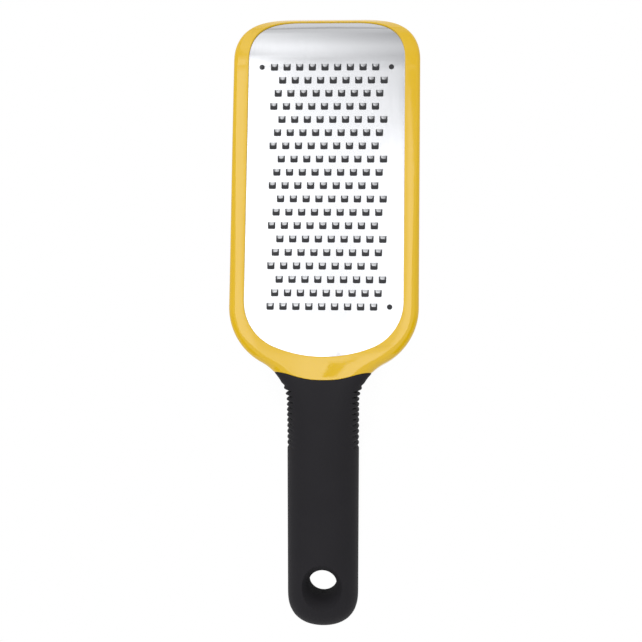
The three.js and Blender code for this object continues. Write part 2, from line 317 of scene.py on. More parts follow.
def join(bodies: Sequence[bpy.types.Object]) -> bpy.types.Object:
    """Joins bodies into the first of them.

    Args:
        bodies: the objects that become one.

    Returns:
        The first of them, with the others in it.
    """
    select_only(bodies[0])
    for body in bodies:
        body.select_set(True)
    bpy.ops.object.join()
    return bodies[0]


# The tool's own shape


@dataclass(frozen=True)
class Spine:
    """The line that the straight pieces are bent along, and how the bent tool lies on the table."""

    flat_length: float = 121.3
    nose_radius: float = 25.0
    nose_angle: float = 64.5
    neck_start: float = -4.5
    neck_length: float = 20.0
    handle_drop: float = 13.9
    nose_ease: float = 4.0
    neck_ease: float = 3.0
    reach: tuple[float, float] = (-130.0, 160.0)
    anchor: float = 60.0
    step: float = 0.05
    pitch: float = 5.19756
    lie: Place = (0.0, -15.5562, 31.1450)

    @property
    def nose_length(self) -> float:
        """Length of the rolled nose along its arc."""
        return self.nose_radius * math.radians(self.nose_angle)

    @property
    def tip_end(self) -> float:
        """Place of the frame's end along the tool."""
        return self.flat_length + self.nose_length

    @staticmethod
    def turned(past: np.ndarray, length: float, radius: float, ease: float) -> np.ndarray:
        """Gives how far a bend has turned.

        Args:
            past: distances past the bend's start.
            length: the bend's length.
            radius: its radius.
            ease: how far before and after its start the bend sets in.

        Returns:
            The turn in radians at each distance.
        """
        bent = np.clip(past + ease, 0, 2 * ease) ** 2 / (4 * ease) + np.clip(past - ease, 0, None)
        return np.minimum(bent, length) / radius

    def settle(self, body: bpy.types.Object) -> None:
        """Bends a straight body along the spine, lays it down and scales it to metres.

        Args:
            body: a body in straight millimetres.
        """
        line = np.arange(*self.reach, self.step)
        neck_radius = self.neck_length / math.radians(self.handle_drop)
        turn = self.turned(line - self.flat_length, self.nose_length, self.nose_radius, self.nose_ease)
        turn -= self.turned(self.neck_start - line, self.neck_length, neck_radius, self.neck_ease)
        line_y, line_z = np.cumsum(np.cos(turn)) * self.step, -np.cumsum(np.sin(turn)) * self.step
        line_y += self.anchor - np.interp(self.anchor, line, line_y)
        line_z -= np.interp(self.anchor, line, line_z)
        count = len(body.data.vertices)
        points = np.empty(count * 3)
        body.data.vertices.foreach_get("co", points)
        across, along, height = points.reshape(count, 3).T
        angle = np.interp(along, line, turn)
        y = np.interp(along, line, line_y) + height * np.sin(angle)
        z = np.interp(along, line, line_z) + height * np.cos(angle)
        cos, sin = math.cos(math.radians(self.pitch)), math.sin(math.radians(self.pitch))
        laid = np.stack([across, y * cos + z * sin, z * cos - y * sin], axis=1) + np.array(self.lie)
        body.data.vertices.foreach_set("co", (laid * MM).ravel())
        body.data.update()


@dataclass(frozen=True)
class Skin:
    """The outside of the whole tool: a slab at the head that turns into an oval down the neck.

    The collar is the edge where frame and grip meet: each of its rounds is a distance from the edge and how
    far the skin draws in there.
    """

    spine: Spine = Spine()
    head_width: float = 76.6
    tip_corner_radius: float = 27.0
    shoulder_start: float = 20.2
    shoulder_radius: float = 25.4
    throat_radius: float = 18.8
    frame_depth: float = 11.0
    face_height: float = 1.1
    edge_round: float = 1.8
    shoulder_round: float = 3.2
    round_from: float = 105.0
    round_to: float = 15.0
    end_round: float = 0.9
    nose_lip_drop: float = 0.65
    nose_lip_ramp: tuple[float, float] = (-10.0, 30.0)
    handle_length: float = 113.38
    grip_width: float = 29.25
    grip_thickness: float = 22.0
    grip_crown: float = 2.5
    oval_share: float = 0.94
    butt_round: float = 14.5
    butt_power: float = 2.5
    blend_start: float = 12.0
    blend_length: float = 50.0
    collar_setback: float = 9.3
    collar_rise: float = 3.1
    collar_span: float = 38.0
    collar_power: float = 1.35
    collar_fade: float = 14.0
    collar_rounds: Ramp = ((0.0, 0.25), (0.04, 0.12), (0.12, 0.04), (0.25, 0.0))
    collar_tries: int = 8
    corner_steps: int = 10
    flat_steps: int = 8
    shrink: float = 0.045

    @property
    def frame_bottom(self) -> float:
        """Height of the frame's lower edge."""
        return self.face_height - self.frame_depth

    @property
    def butt_end(self) -> float:
        """Place of the handle's end along the tool."""
        return -self.handle_length

    @property
    def tip_corner_start(self) -> float:
        """Place along the tool where the tip's corners begin."""
        return self.spine.tip_end - self.tip_corner_radius

    def half_width(self, s: float) -> float:
        """Gives half the tool's width at s: tip corners, sides, shoulder, throat, handle.

        Args:
            s: place along the tool.

        Returns:
            Half the width in millimetres.
        """
        head, grip = self.head_width / 2, self.grip_width / 2
        shoulder = head - self.shoulder_radius
        throat = grip + self.throat_radius
        radii = self.shoulder_radius + self.throat_radius
        apart = math.sqrt(radii**2 - (throat - shoulder) ** 2)
        if s > self.tip_corner_start:
            along = min(s - self.tip_corner_start, self.tip_corner_radius)
            return head - self.tip_corner_radius + math.sqrt(self.tip_corner_radius**2 - along**2)
        if s > self.shoulder_start:
            return head
        if s > self.shoulder_start - apart * self.shoulder_radius / radii:
            return shoulder + math.sqrt(self.shoulder_radius**2 - (self.shoulder_start - s) ** 2)
        if s > self.shoulder_start - apart:
            return throat - math.sqrt(self.throat_radius**2 - (s - self.shoulder_start + apart) ** 2)
        return grip

    def butt_share(self, s: float) -> float:
        """Gives the share of the full section that is left where the butt rounds off."""
        along = min(max((self.butt_end + self.butt_round - s) / self.butt_round, 0.0), 1.0)
        return (1 - along**self.butt_power) ** (1 / self.butt_power)

    def end_draw_in(self, s: float) -> float:
        """Gives how far the upper and lower edges draw in at the frame's end wall."""
        along = max(s - (self.spine.tip_end - self.end_round), 0.0)
        return self.end_round - math.sqrt(max(self.end_round**2 - along**2, 0.0))

    def collar_sag(self, x: float) -> float:
        """Gives how far the collar's edge lies ahead of its middle, at x."""
        share = min(abs(x) / (self.collar_span / 2), 1.0) ** self.collar_power
        return self.collar_rise * math.sin(math.pi / 2 * share) ** 2

    def point(self, s: float, side: float, angle: float, inset: float = 0.0) -> Vector:
        """Gives the skin's point at s and at a place round the section.

        Args:
            s: place along the tool.
            side: place across the flat top or bottom, from -1 to 1.
            angle: radians round the corner, from +x to +h.
            inset: distance inside the skin.

        Returns:
            The point in straight millimetres.
        """
        inset += self.shrink
        blend = smooth(-s, -self.blend_start, self.blend_length - self.blend_start)
        share = self.butt_share(s)
        draw_in = self.end_draw_in(s) + inset
        half = (self.half_width(s) - inset) * share
        nose_drop = self.nose_lip_drop * smooth(s - self.spine.flat_length, *self.nose_lip_ramp)
        top = lerp(self.face_height - nose_drop, self.grip_crown, blend) - draw_in
        bottom = lerp(self.frame_bottom, self.grip_crown - self.grip_thickness, blend) + draw_in
        middle, rise = (top + bottom) / 2, (top - bottom) / 2 * share
        corner = lerp(self.edge_round, self.shoulder_round, smooth(-s, -self.round_from, -self.round_to))
        round_x = lerp(corner, half, blend * self.oval_share)
        round_h = lerp(corner, rise, blend * self.oval_share)
        x = side * (half - round_x) + round_x * math.cos(angle)
        level = 1 if angle < math.pi else -1
        return Vector((x, s, middle + level * (rise - round_h) + round_h * math.sin(angle)))

    def round_places(self) -> list[tuple[float, float]]:
        """Gives side and angle of a section's points: its four corners, with the top and bottom between.

        Returns:
            For each point a side from -1 to 1 and an angle in radians.
        """
        quarter = math.pi / 2
        inside = 1e-6
        places = []
        for turn, side in enumerate((1, -1, -1, 1)):
            start = turn * quarter + (inside if turn == 2 else 0.0)
            end = (turn + 1) * quarter - (inside if turn in (1, 3) else 0.0)
            places += [(side, angle) for angle in evenly(start, end, self.corner_steps)]
            if turn in (0, 2):
                places += [(across, end) for across in evenly(side, -side, self.flat_steps)[1:-1]]
        return places

    def ring(self, s: float, sag: float = 0.0, inset: float = 0.0) -> list[Vector]:
        """Gives one ring of the skin.

        Args:
            s: place along the tool, at the ring's middle.
            sag: share of the collar's curve that the ring follows.
            inset: distance inside the skin.

        Returns:
            The ring's points.
        """
        points = []
        for side, angle in self.round_places():
            point = self.point(s, side, angle, inset)
            for _ in range(self.collar_tries if sag else 0):
                point = self.point(s + sag * self.collar_sag(point.x), side, angle, inset)
            points.append(point)
        return points


@dataclass(frozen=True)
class Window:
    """The opening in the frame, with a bowed heel and rounded tip corners, and the sheet that it holds."""

    skin: Skin = Skin()
    band_width: float = 6.3
    tip_band: float = 4.2
    heel_radius: float = 52.0
    heel_corner_radius: float = 20.0
    plate_thickness: float = 0.6
    plate_capture: float = 2.4
    heel_steps: int = 16
    corner_steps: int = 18
    tip_steps: int = 40

    def outline(self, offset: float) -> Outline:
        """Gives half widths and places from the heel to the tip, offset outwards.

        Args:
            offset: distance outwards in millimetres.

        Returns:
            The outline, in order.
        """
        half = self.skin.head_width / 2 - self.band_width
        corner_x = half - self.heel_corner_radius
        apart = self.heel_radius - self.heel_corner_radius
        corner_s = self.heel_radius - math.sqrt(apart**2 - corner_x**2)
        heel_end = math.atan2(corner_s - self.heel_radius, corner_x)
        tip_radius = self.skin.tip_corner_radius - self.band_width
        tip_x = half - tip_radius
        tip_s = self.skin.tip_corner_start
        tip_reach = self.skin.spine.tip_end - self.tip_band - tip_s
        heel_angles = evenly(-math.pi / 2, heel_end, self.heel_steps)[1:]
        corner_angles = evenly(heel_end, 0.0, self.corner_steps)[1:]
        arcs = [
            (0.0, self.heel_radius, self.heel_radius, self.heel_radius, heel_angles),
            (corner_x, corner_s, self.heel_corner_radius, self.heel_corner_radius, corner_angles),
            (tip_x, tip_s, tip_radius, tip_reach, evenly(0.0, math.pi / 2, self.tip_steps)),
        ]
        places: Outline = [(half + offset, self.skin.spine.flat_length)]
        for x, s, wide, long, angles in arcs:
            for angle in angles:
                place = x + (wide + offset) * math.cos(angle), s + (long + offset) * math.sin(angle)
                places.append(place)
        return sorted(places, key=lambda place: place[1])

    def slab(self, offset: float, low: float, high: float) -> bpy.types.Object:
        """Makes a slab with the window's outline, offset outwards."""
        return slab("window_slab", self.outline(offset), low, high)


# Finishes


def connect(tree: bpy.types.NodeTree, node: bpy.types.Node, inputs: Inputs) -> None:
    """Sets a node's inputs.

    Args:
        tree: the node tree.
        node: the node.
        inputs: for each input, by name or number, a value, or the output that is linked to it, or a node
            whose first output is linked to it.
    """
    for socket, value in inputs.items():
        source = value.outputs[0] if isinstance(value, bpy.types.Node) else value
        if isinstance(source, bpy.types.NodeSocket):
            tree.links.new(source, node.inputs[socket])
        else:
            node.inputs[socket].default_value = source


def add_node(
    tree: bpy.types.NodeTree, kind: str, inputs: Optional[Inputs] = None, **settings: object
) -> bpy.types.Node:
    """Adds a node with its settings, values and links.

    Args:
        tree: the node tree.
        kind: the node's type.
        inputs: its inputs, as connect takes them.
        settings: the node's own properties.

    Returns:
        The node.
    """
    node = tree.nodes.new(kind)
    for name, value in settings.items():
        setattr(node, name, value)
    connect(tree, node, inputs or {})
    return node


def blank_material(name: str) -> tuple[bpy.types.Material, bpy.types.NodeTree]:
    """Starts a material with an empty node tree.

    Args:
        name: the material's name.

    Returns:
        The material and its tree.
    """
    material = bpy.data.materials.new(name)
    material.use_nodes = True
    material.node_tree.nodes.clear()
    return material, material.node_tree


@dataclass(frozen=True)
class Finish(ABC):
    """A finish: its name, its colour and how rough it is."""

    name: str
    colour: str
    roughness: float

    @abstractmethod
    def material(self) -> bpy.types.Material:
        """Makes the material."""

    def start(self) -> tuple[bpy.types.Material, bpy.types.NodeTree, bpy.types.Node, bpy.types.NodeSocket]:
        """Starts the material.

        Returns:
            The material, its tree, its shader and the Object coordinates.
        """
        material = bpy.data.materials.new(self.name)
        material.use_nodes = True
        tree = material.node_tree
        shader = tree.nodes["Principled BSDF"]
        connect(tree, shader, {"Base Color": linear(self.colour), "Roughness": self.roughness})
        return material, tree, shader, add_node(tree, "ShaderNodeTexCoord").outputs["Object"]

    def mottle(self, tree: bpy.types.NodeTree, patches: bpy.types.Node, second: str) -> bpy.types.NodeSocket:
        """Mixes the colour with a second one by a pattern of patches."""
        colours = {"Factor": patches, 6: linear(self.colour), 7: linear(second)}
        return add_node(tree, "ShaderNodeMix", colours, data_type="RGBA").outputs[2]

    def vary(
        self,
        tree: bpy.types.NodeTree,
        pattern: bpy.types.Node,
        shares: tuple[float, float],
        span: tuple[float, float] = (0.0, 1.0),
    ) -> bpy.types.Node:
        """Turns a pattern into roughness.

        Args:
            tree: the node tree.
            pattern: the pattern.
            shares: the least and the most of the finish's roughness, as shares of it.
            span: the pattern's values that these belong to.

        Returns:
            The node that gives the roughness.
        """
        low, high = (self.roughness * share for share in shares)
        levels = {"From Min": span[0], "From Max": span[1], "To Min": low, "To Max": high}
        return add_node(tree, "ShaderNodeMapRange", {"Value": pattern, **levels})


@dataclass(frozen=True)
class GlossPlastic(Finish):
    """ABS, injection moulded in a polished mould: a deep colour with a clear, faintly rippled gloss."""

    deep_colour: str = "#E3B709"
    flow_mm: float = 26.0
    ripple_mm: float = 2.6
    ripple_depth_mm: float = 0.02
    ripple_strength: float = 0.25
    haze_mm: float = 0.6
    rough_shares: tuple[float, float] = (0.75, 1.25)
    ior: float = 1.54

    def material(self) -> bpy.types.Material:
        """Makes the material.

        Returns:
            The material.
        """
        material, tree, shader, place = self.start()
        flow, haze, ripple = (
            add_node(
                tree, "ShaderNodeTexNoise", {"Vector": place, "Scale": per_metre(size), "Detail": detail}
            )
            for size, detail in ((self.flow_mm, 2.0), (self.haze_mm, 3.0), (self.ripple_mm, 1.0))
        )
        bump = {"Height": ripple, "Strength": self.ripple_strength, "Distance": self.ripple_depth_mm * MM}
        surface = {
            "Base Color": self.mottle(tree, flow, self.deep_colour),
            "Roughness": self.vary(tree, haze, self.rough_shares),
            "Normal": add_node(tree, "ShaderNodeBump", bump),
            "IOR": self.ior,
        }
        connect(tree, shader, surface)
        return material


@dataclass(frozen=True)
class GroundSteel(Finish):
    """Stainless sheet, ground along the tool and polished: bright, with a soft grain that runs lengthwise."""

    grain_mm: float = 0.45
    grain_length_mm: float = 26.0
    grain_depth_mm: float = 0.004
    grain_strength: float = 0.2
    cloud_mm: float = 9.0
    rough_shares: tuple[float, float] = (0.8, 1.25)
    rough_span: tuple[float, float] = (0.6, 1.4)

    def material(self) -> bpy.types.Material:
        """Makes the material. The grain is about twice as coarse as the real one, so that it shows.

        Returns:
            The material.
        """
        material, tree, shader, place = self.start()
        lengthwise = per_metre(self.grain_length_mm)
        scale = (per_metre(self.grain_mm), lengthwise, lengthwise)
        stretched = add_node(tree, "ShaderNodeMapping", {"Vector": place, "Scale": scale})
        grain = add_node(tree, "ShaderNodeTexNoise", {"Vector": stretched, "Scale": 1.0, "Detail": 4.0})
        clouds = {"Vector": place, "Scale": per_metre(self.cloud_mm), "Detail": 2.0}
        cloud = add_node(tree, "ShaderNodeTexNoise", clouds)
        both = add_node(tree, "ShaderNodeMath", {0: grain, 1: cloud}, operation="ADD")
        bump = {"Height": grain, "Strength": self.grain_strength, "Distance": self.grain_depth_mm * MM}
        surface = {
            "Metallic": 1.0,
            "Roughness": self.vary(tree, both, self.rough_shares, self.rough_span),
            "Normal": add_node(tree, "ShaderNodeBump", bump),
        }
        connect(tree, shader, surface)
        return material


@dataclass(frozen=True)
class SoftRubber(Finish):
    """Thermoplastic rubber from a grained mould: matte, with a weak velvety sheen, and with shade painted
    into its hollows.
    """

    worn_colour: str = "#2A292C"
    grain_mm: float = 0.5
    grain_depth_mm: float = 0.03
    grain_strength: float = 0.35
    patch_mm: float = 14.0
    rough_shares: tuple[float, float] = (0.9, 1.1)
    sheen: float = 0.02
    sheen_roughness: float = 0.5
    specular: float = 0.06
    # Painted shade in the hollows: how far it looks for near surfaces, how dark it gets, the openness it
    # spans and its samples.
    painted_cavity_mm: float = 9.0
    painted_cavity_shade: float = 0.8
    painted_cavity_span: tuple[float, float] = (0.25, 0.85)
    painted_cavity_samples: int = 8

    def painted_hollow_shade(self, tree: bpy.types.NodeTree) -> bpy.types.Node:
        """Gives the painted shade of the surface: 1 where it is open, less in its hollows.

        Args:
            tree: the node tree.

        Returns:
            The node that gives the shade.
        """
        reach = {"Distance": self.painted_cavity_mm * MM}
        openness = add_node(tree, "ShaderNodeAmbientOcclusion", reach, samples=self.painted_cavity_samples)
        closed, opened = self.painted_cavity_span
        levels = {"From Min": closed, "From Max": opened, "To Min": self.painted_cavity_shade}
        return add_node(tree, "ShaderNodeMapRange", {"Value": openness.outputs["AO"], **levels})

    def material(self) -> bpy.types.Material:
        """Makes the material. The grain is drawn coarser than the real one, so that it shows.

        Returns:
            The material.
        """
        material, tree, shader, place = self.start()
        patch, grain = (
            add_node(
                tree, "ShaderNodeTexNoise", {"Vector": place, "Scale": per_metre(size), "Detail": detail}
            )
            for size, detail in ((self.patch_mm, 4.0), (self.grain_mm, 2.0))
        )
        # Painted shade darkens the colour where the surface is hemmed in, as in the fins' valleys and the
        # hang hole.
        colours = {"Factor": 1.0, 6: self.mottle(tree, patch, self.worn_colour), 7: self.painted_hollow_shade(tree)}
        shaded = add_node(tree, "ShaderNodeMix", colours, data_type="RGBA", blend_type="MULTIPLY")
        bump = {"Height": grain, "Strength": self.grain_strength, "Distance": self.grain_depth_mm * MM}
        surface = {
            "Base Color": shaded.outputs[2],
            "Roughness": self.vary(tree, grain, self.rough_shares),
            "Normal": add_node(tree, "ShaderNodeBump", bump),
            "Specular IOR Level": self.specular,
            "Sheen Weight": self.sheen,
            "Sheen Roughness": self.sheen_roughness,
        }
        connect(tree, shader, surface)
        return material


# Sub-assemblies


def paint(piece: bpy.types.Object, finish: Finish) -> None:
    """Gives a piece its finish and reports it.

    Args:
        piece: the piece.
        finish: its finish.
    """
    piece.data.materials.clear()
    piece.data.materials.append(finish.material())
    LOG.info("%s: %d faces, finish %s", piece.name, len(piece.data.polygons), finish.name)


def dress(piece: bpy.types.Object, finish: Finish) -> None:
    """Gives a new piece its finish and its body.

    Args:
        piece: the piece.
        finish: its finish.
    """
    paint(piece, finish)
    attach(piece, BODY)


@dataclass
class HeadFrame:
    """The moulded frame: a hollow band round the window, a solid neck and a tang into the handle."""

    skin: Skin = Skin()
    window: Window = Window()
    channel: Window = Window(tip_band=6.3)
    finish: GlossPlastic = GlossPlastic("mould_polished_yellow_abs", "#E5BB0C", 0.06)
    wall: float = 2.0
    lip_round: float = 0.3
    lip_segments: int = 3
    lip_depth: float = 1.0
    lip_upright: float = 0.1
    lip_level: float = 0.9
    ledge_thickness: float = 1.2
    gap: float = 0.2
    lip_clearance: float = 0.02
    overcut: float = 5.0
    neck_steps: int = 34
    side_steps: int = 20
    nose_steps: int = 60
    tang_size: Place = (15.0, 41.0, 6.0)
    tang_taper: float = 0.8
    tang_middle: float = -7.0
    tang_cuts: int = 5
    foot_seat: tuple[float, float] = (30.4, 5.0)
    foot_depth: float = 0.9
    foot_edge: float = 0.8
    crease: float = 32.0

    def sections(self) -> list[list[Vector]]:
        """Gives the skin's rings from the collar's rounded edge to the end wall.

        Returns:
            The rings, in order.
        """
        skin = self.skin
        rings = []
        for back, inset in skin.collar_rounds:
            rings.append(skin.ring(back - skin.collar_setback, 1.0, inset=inset))
        start = skin.collar_rounds[-1][0] - skin.collar_setback
        for s in evenly(start, skin.shoulder_start, self.neck_steps)[1:]:
            fade = 1 - smooth(s, start, start + skin.collar_fade)
            rings.append(skin.ring(s, fade))
        for s in evenly(skin.shoulder_start, skin.round_from, self.side_steps)[1:]:
            rings.append(skin.ring(s))
        rings.append(skin.ring(skin.spine.flat_length))
        for angle in evenly(0.0, math.pi / 2, self.nose_steps):
            rings.append(skin.ring(skin.tip_corner_start + skin.tip_corner_radius * math.sin(angle)))
        return rings

    def tang(self) -> bpy.types.Object:
        """Makes the tapering tang that the handle's core is moulded round.

        Returns:
            A closed body.
        """
        middle = -self.skin.collar_setback / 2 - self.tang_size[1] / 2
        tang = box("tang", self.tang_size, (0.0, middle, self.tang_middle))
        bpy.ops.object.mode_set(mode="EDIT")
        mesh = bmesh.from_edit_mesh(tang.data)
        for face in mesh.faces:
            face.select_set(face.normal.y < -FACING)
        bmesh.update_edit_mesh(tang.data)
        bpy.ops.transform.resize(value=(self.tang_taper, 1, self.tang_taper))
        bpy.ops.mesh.select_all(action="SELECT")
        bpy.ops.mesh.subdivide(number_cuts=self.tang_cuts)
        bpy.ops.object.mode_set(mode="OBJECT")
        return tang

    def seat(self) -> bpy.types.Object:
        """Makes the pocket that the tip foot sits in.

        Returns:
            The pocket's cutter.
        """
        width, height = self.foot_seat
        end = self.skin.spine.tip_end
        low = self.skin.frame_bottom + self.foot_edge
        outline = [(width / 2, end - self.foot_depth), (width / 2, end + self.overcut)]
        return slab("foot_seat", outline, low, low + height)

    def is_lip(self, edge: bmesh.types.BMEdge) -> bool:
        """Tells whether an edge runs round the window at the frame's upper face.

        Args:
            edge: an edge between two faces.

        Returns:
            True for an edge of the lip.
        """
        if any(vert.co.z < self.skin.face_height - self.lip_depth for vert in edge.verts):
            return False
        least, most = sorted(abs(near.normal.z) for near in edge.link_faces)
        return least < self.lip_upright and most > self.lip_level

    def build(self) -> bpy.types.Object:
        """Builds the frame and lays it in its place.

        Returns:
            The finished piece.
        """
        below = self.skin.frame_bottom - self.overcut
        groove = self.window.plate_thickness + self.gap
        groove_reach = self.window.plate_capture + self.gap
        channel_reach = self.channel.band_width - self.wall
        piece = loft("frame_shell", self.sections())
        combine(piece, self.window.slab(0.0, below, self.overcut), Join.CUT)
        bevel(piece, self.is_lip, self.lip_round, self.lip_segments)
        combine(piece, self.channel.slab(channel_reach, below, -groove - self.ledge_thickness), Join.CUT)
        combine(piece, self.window.slab(groove_reach, -groove, self.lip_clearance), Join.CUT)
        combine(piece, self.seat(), Join.CUT)
        combine(piece, self.tang(), Join.ADD)
        self.skin.spine.settle(piece)
        smooth_faces(piece, self.crease)
        modify(piece, "WEIGHTED_NORMAL", keep_sharp=True)
        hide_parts("frame")
        dress(piece, self.finish)
        return piece


@dataclass
class GratingPlate:
    """The steel sheet with its openings, and one raised tongue over the tip side of each opening."""

    window: Window = Window()
    finish: GroundSteel = GroundSteel("ground_stainless_steel", "#C8C9CC", 0.15)
    rows: int = 19
    columns: int = 9
    pitch: float = 5.19
    row_pitch: float = 5.485
    first_row: float = 18.7
    field_offset: float = -0.65
    shift_cycle: int = 3
    opening: tuple[float, float] = (2.98, 2.85)
    opening_round: float = 0.5
    opening_segments: int = 4
    tongue_width: float = 2.2
    tongue_edge_width: float = 1.75
    tongue_length: float = 1.4
    tongue_slope: float = 35.0
    tongue_edge_slope: float = 22.0
    tongue_dome: float = 2.5
    tongue_crown: float = 0.05
    tongue_nose: float = 0.25
    tongue_nose_span: float = 0.97
    tongue_root: float = 0.1
    tongue_thickness: float = 0.3
    tongue_grid: tuple[int, int] = (6, 4)
    tongue_samples: int = 12
    pilot_diameter: float = 2.2
    pilot_span: float = 53.0
    pilot_rise: float = 1.5
    pilot_segments: int = 28
    overcut: float = 1.0
    sheet_crease: float = 32.0
    tongue_crease: float = 50.0

    def over_field(self, first: bpy.types.Object) -> bpy.types.Object:
        """Copies a first tooth over the staggered field.

        Args:
            first: the tooth of the lowest row's leftmost place.

        Returns:
            One object with every tooth.
        """
        repeat(first, self.columns, (self.pitch, 0.0, 0.0))
        phases = []
        for phase in range(self.shift_cycle):
            select_only(first)
            bpy.ops.object.duplicate()
            copy = bpy.context.object
            shift = self.pitch * phase / self.shift_cycle
            bpy.ops.transform.translate(value=(shift, phase * self.row_pitch, 0.0))
            bpy.ops.object.transform_apply(location=True, rotation=False, scale=False)
            rows = len(range(phase, self.rows, self.shift_cycle))
            repeat(copy, rows, (0.0, self.shift_cycle * self.row_pitch, 0.0))
            phases.append(copy)
        bpy.data.objects.remove(first)
        return join(phases)

    @property
    def first_place(self) -> tuple[float, float]:
        """Middle of the lowest row's leftmost opening at its handle side."""
        return self.field_offset - self.pitch * (self.columns - 1) / 2, self.first_row

    @property
    def cut_height(self) -> float:
        """Height of a cutter that goes through the sheet."""
        return self.window.plate_thickness + 2 * self.overcut

    def first_opening(self) -> bpy.types.Object:
        """Makes the cutter of one opening, rounded at its handle side.

        Returns:
            The cutter.
        """
        x, s = self.first_place
        width, length = self.opening
        middle = s + length / 2
        thickness = self.window.plate_thickness

        def is_handle_corner(edge: bmesh.types.BMEdge) -> bool:
            """Tells whether an edge is an upright corner at the handle side."""
            start, end = (vert.co for vert in edge.verts)
            return abs(start.z - end.z) > thickness and start.y < middle

        cutter = box("opening", (width, length, self.cut_height), (x, middle, -thickness / 2))
        bevel(cutter, is_handle_corner, self.opening_round, self.opening_segments)
        return cutter

    def first_tongue(self) -> bpy.types.Object:
        """Makes one tongue: a flap that rises steeply from the opening's tip side and levels out.

        Returns:
            The tongue.
        """
        x, s = self.first_place
        across_steps, along_steps = self.tongue_grid
        grid = {"x_subdivisions": across_steps, "y_subdivisions": along_steps, "size": 2.0}
        tongue = add_primitive("tongue", bpy.ops.mesh.primitive_grid_add, **grid)
        for vert in tongue.data.vertices:
            across, towards = vert.co.x, (1 - vert.co.y) / 2
            half = lerp(self.tongue_width, self.tongue_edge_width, towards) / 2
            nose = math.sqrt(max(1 - (self.tongue_nose_span * across) ** 2, 0.0))
            rounded = 1 - self.tongue_nose * (1 - nose)
            reach = lerp(-self.tongue_root, self.tongue_length * rounded, towards)
            slopes = [
                lerp(self.tongue_slope, self.tongue_edge_slope, (towards * share) ** self.tongue_dome)
                for share in evenly(0.0, 1.0, self.tongue_samples)
            ]
            rise = reach * sum(math.tan(math.radians(slope)) for slope in slopes) / len(slopes)
            height = rise - self.tongue_crown * across**2
            vert.co = Vector((x + across * half, s + self.opening[1] - reach, height))
        modify(tongue, "SOLIDIFY", thickness=self.tongue_thickness, offset=-1.0)
        return tongue

    def pilots(self) -> list[bpy.types.Object]:
        """Makes the cutters of the small round holes beside the field.

        Returns:
            The three cutters.
        """
        last_row = self.first_row + (self.rows - 1) * self.row_pitch
        middle = -self.window.plate_thickness / 2
        cutters = []
        for side, row in ((1, self.first_row), (1, last_row), (-1, last_row)):
            cutter = add_primitive(
                "pilot",
                bpy.ops.mesh.primitive_cylinder_add,
                vertices=self.pilot_segments,
                radius=self.pilot_diameter / 2,
                depth=self.cut_height,
                location=(side * self.pilot_span / 2, row + self.pilot_rise, middle),
            )
            bpy.ops.object.transform_apply(location=True, rotation=True, scale=True)
            cutters.append(cutter)
        return cutters

    def build(self) -> bpy.types.Object:
        """Builds the plate and lays it in its place.

        Returns:
            The finished piece.
        """
        sheet = self.window.slab(self.window.plate_capture, -self.window.plate_thickness, 0.0)
        sheet.name = sheet.data.name = "toothed_plate"
        combine(sheet, join([self.over_field(self.first_opening()), *self.pilots()]), Join.CUT)
        smooth_faces(sheet, self.sheet_crease)
        tongues = self.over_field(self.first_tongue())
        smooth_faces(tongues, self.tongue_crease)
        piece = join([sheet, tongues])
        self.window.skin.spine.settle(piece)
        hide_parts("grating_plate")
        dress(piece, self.finish)
        return piece


